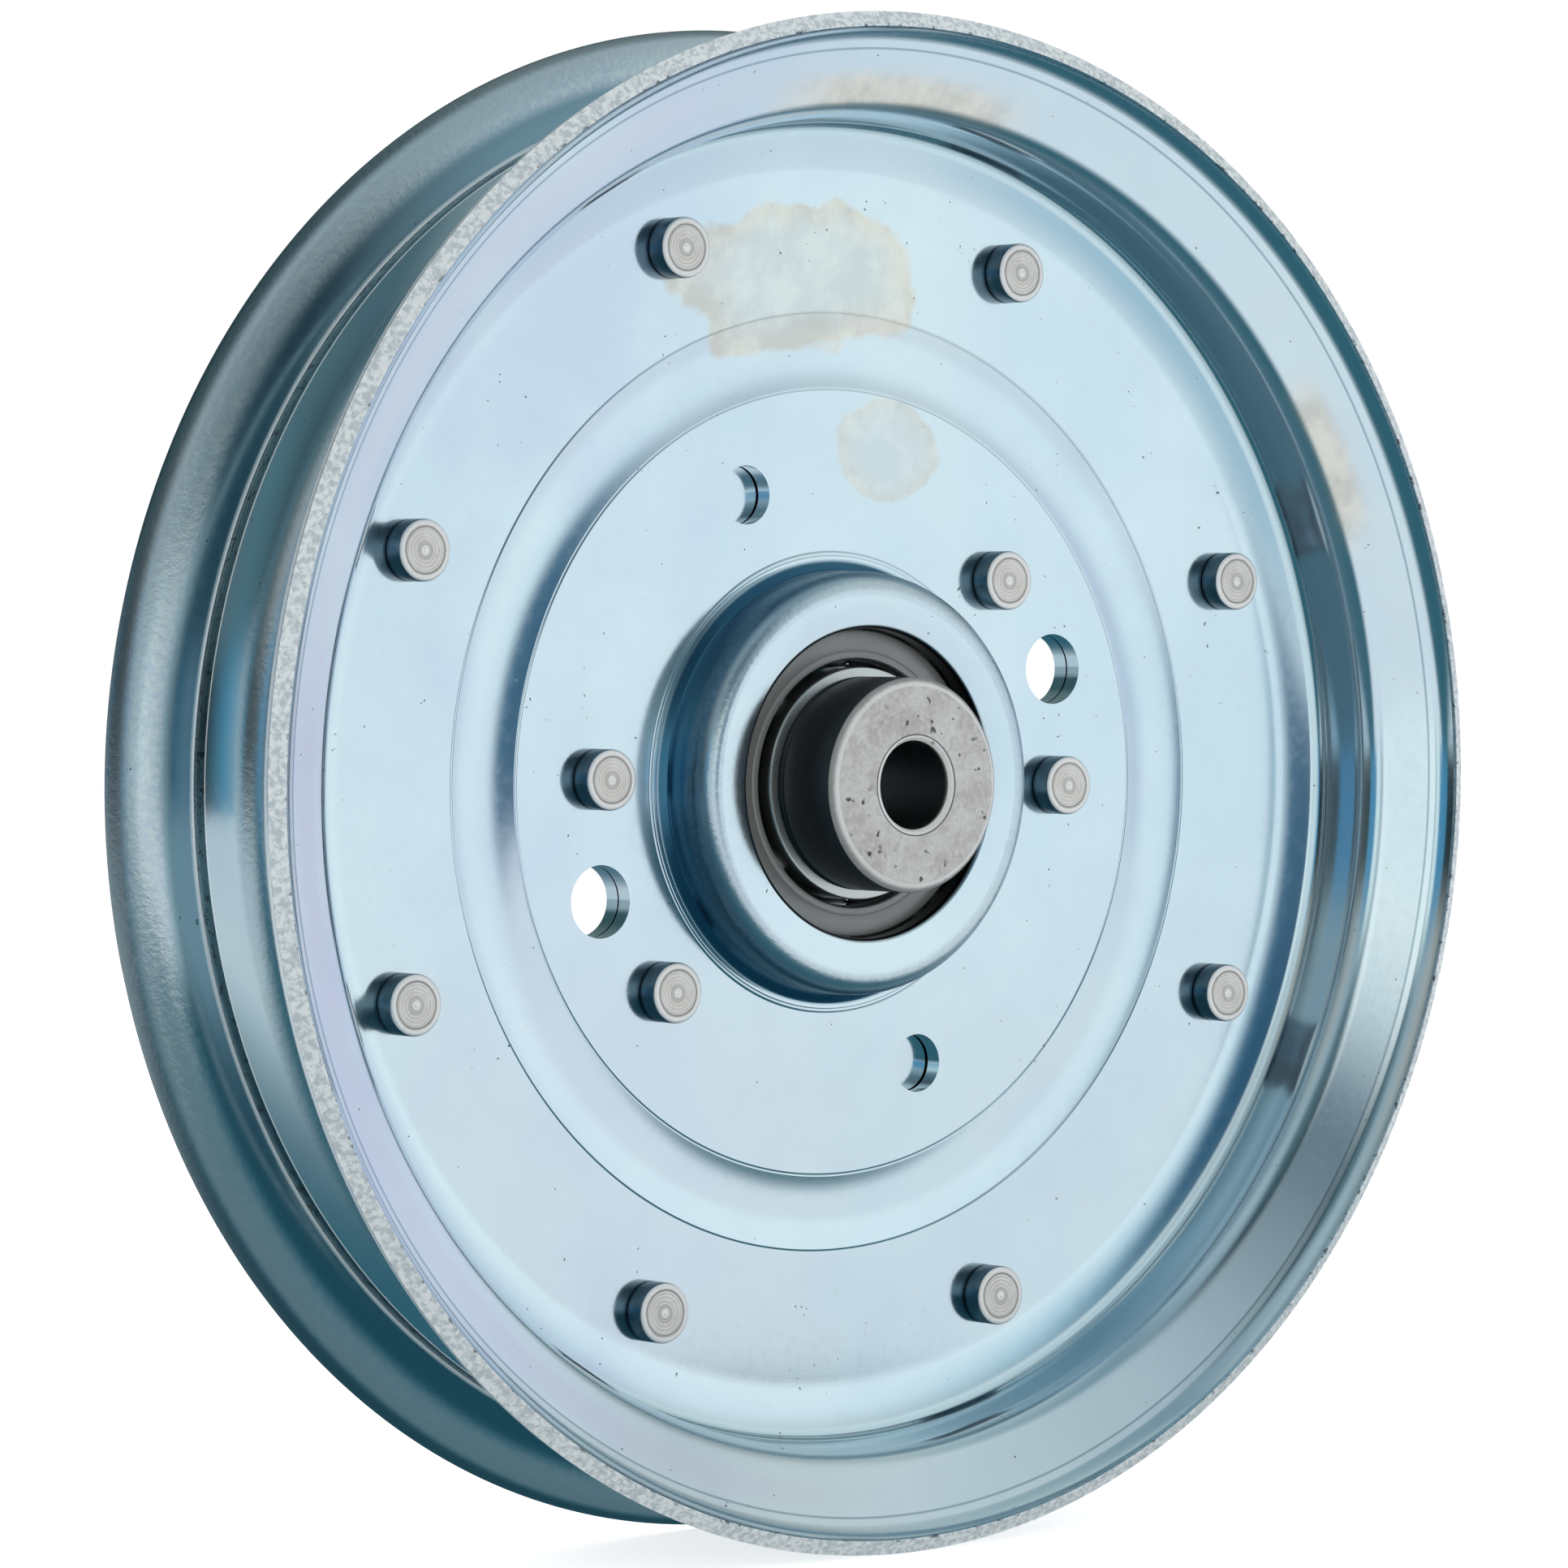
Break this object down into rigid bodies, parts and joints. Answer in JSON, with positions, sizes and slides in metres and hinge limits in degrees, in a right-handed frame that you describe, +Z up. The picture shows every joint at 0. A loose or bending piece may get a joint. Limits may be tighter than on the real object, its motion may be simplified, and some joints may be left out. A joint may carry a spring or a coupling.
{
  "type": "flat belt idler pulley",
  "caption": "Flat belt idler pulley: riveted pair of flanged sheet-steel halves on a sealed ball bearing, with a stepped spacer bushing pressed in from each side.",
  "frame": {"origin": "centre of the bore, on the plane where the two halves meet", "axes": "+Y along the spin axis towards the rear face, +Z up, +X to the right seen from the front"},
  "size_m": [0.165, 0.0326, 0.165],
  "materials": {
    "zinc_sheet": "bright clear zinc plate, lightly stained, orange-peel grain on the bends",
    "rivet_steel": "turned rings on the formed head, satin sides",
    "bearing_steel": "ground, satin",
    "ball_steel": "polished",
    "cage_polymer": "matte moulded",
    "seal": "satin grey",
    "spacer_steel": "sawn and plated, mottled with small pits"
  },
  "bodies": {
    "spindle": {"bearing_inner_ring": "bearing_steel", "front_spacer": "spacer_steel", "rear_spacer": "spacer_steel"},
    "pulley": {"front_half": "zinc_sheet", "rear_half": "zinc_sheet", "bearing_outer_ring": "bearing_steel", "front_seal": "seal", "rear_seal": "seal", "outer_rivet_1": "rivet_steel", "outer_rivet_2": "rivet_steel", "outer_rivet_3": "rivet_steel", "outer_rivet_4": "rivet_steel", "outer_rivet_5": "rivet_steel", "outer_rivet_6": "rivet_steel", "outer_rivet_7": "rivet_steel", "outer_rivet_8": "rivet_steel", "inner_rivet_1": "rivet_steel", "inner_rivet_2": "rivet_steel", "inner_rivet_3": "rivet_steel", "inner_rivet_4": "rivet_steel"},
    "cage": {"ball_cage": "cage_polymer"},
    "ball_1": {"bearing_ball_1": "ball_steel"},
    "ball_2": {"bearing_ball_2": "ball_steel"},
    "ball_3": {"bearing_ball_3": "ball_steel"},
    "ball_4": {"bearing_ball_4": "ball_steel"},
    "ball_5": {"bearing_ball_5": "ball_steel"},
    "ball_6": {"bearing_ball_6": "ball_steel"},
    "ball_7": {"bearing_ball_7": "ball_steel"},
    "ball_8": {"bearing_ball_8": "ball_steel"}
  },
  "joints": [
    {"name": "pulley_spin", "type": "hinge", "parent": "spindle", "child": "pulley", "pos_m": [0, 0, 0], "axis": [0, 1, 0], "continuous": true},
    {"name": "cage_spin", "type": "hinge", "parent": "spindle", "child": "cage", "pos_m": [0, 0, 0], "axis": [0, 1, 0], "continuous": true},
    {"name": "ball_1_roll", "type": "hinge", "parent": "cage", "child": "ball_1", "pos_m": [0.01429, 0, 0], "axis": [0, 1, 0], "continuous": true},
    {"name": "ball_2_roll", "type": "hinge", "parent": "cage", "child": "ball_2", "pos_m": [0.0101, 0, 0.0101], "axis": [0, 1, 0], "continuous": true},
    {"name": "ball_3_roll", "type": "hinge", "parent": "cage", "child": "ball_3", "pos_m": [0, 0, 0.01429], "axis": [0, 1, 0], "continuous": true},
    {"name": "ball_4_roll", "type": "hinge", "parent": "cage", "child": "ball_4", "pos_m": [-0.0101, 0, 0.0101], "axis": [0, 1, 0], "continuous": true},
    {"name": "ball_5_roll", "type": "hinge", "parent": "cage", "child": "ball_5", "pos_m": [-0.01429, 0, 0], "axis": [0, 1, 0], "continuous": true},
    {"name": "ball_6_roll", "type": "hinge", "parent": "cage", "child": "ball_6", "pos_m": [-0.0101, 0, -0.0101], "axis": [0, 1, 0], "continuous": true},
    {"name": "ball_7_roll", "type": "hinge", "parent": "cage", "child": "ball_7", "pos_m": [0, 0, -0.01429], "axis": [0, 1, 0], "continuous": true},
    {"name": "ball_8_roll", "type": "hinge", "parent": "cage", "child": "ball_8", "pos_m": [0.0101, 0, -0.0101], "axis": [0, 1, 0], "continuous": true}
  ],
  "couplings": [
    {"joint": "cage_spin", "follows": "pulley_spin", "ratio": 0.625},
    {"joint": "ball_1_roll", "follows": "pulley_spin", "ratio": 1.8749},
    {"joint": "ball_2_roll", "follows": "pulley_spin", "ratio": 1.8749},
    {"joint": "ball_3_roll", "follows": "pulley_spin", "ratio": 1.8749},
    {"joint": "ball_4_roll", "follows": "pulley_spin", "ratio": 1.8749},
    {"joint": "ball_5_roll", "follows": "pulley_spin", "ratio": 1.8749},
    {"joint": "ball_6_roll", "follows": "pulley_spin", "ratio": 1.8749},
    {"joint": "ball_7_roll", "follows": "pulley_spin", "ratio": 1.8749},
    {"joint": "ball_8_roll", "follows": "pulley_spin", "ratio": 1.8749}
  ]
}
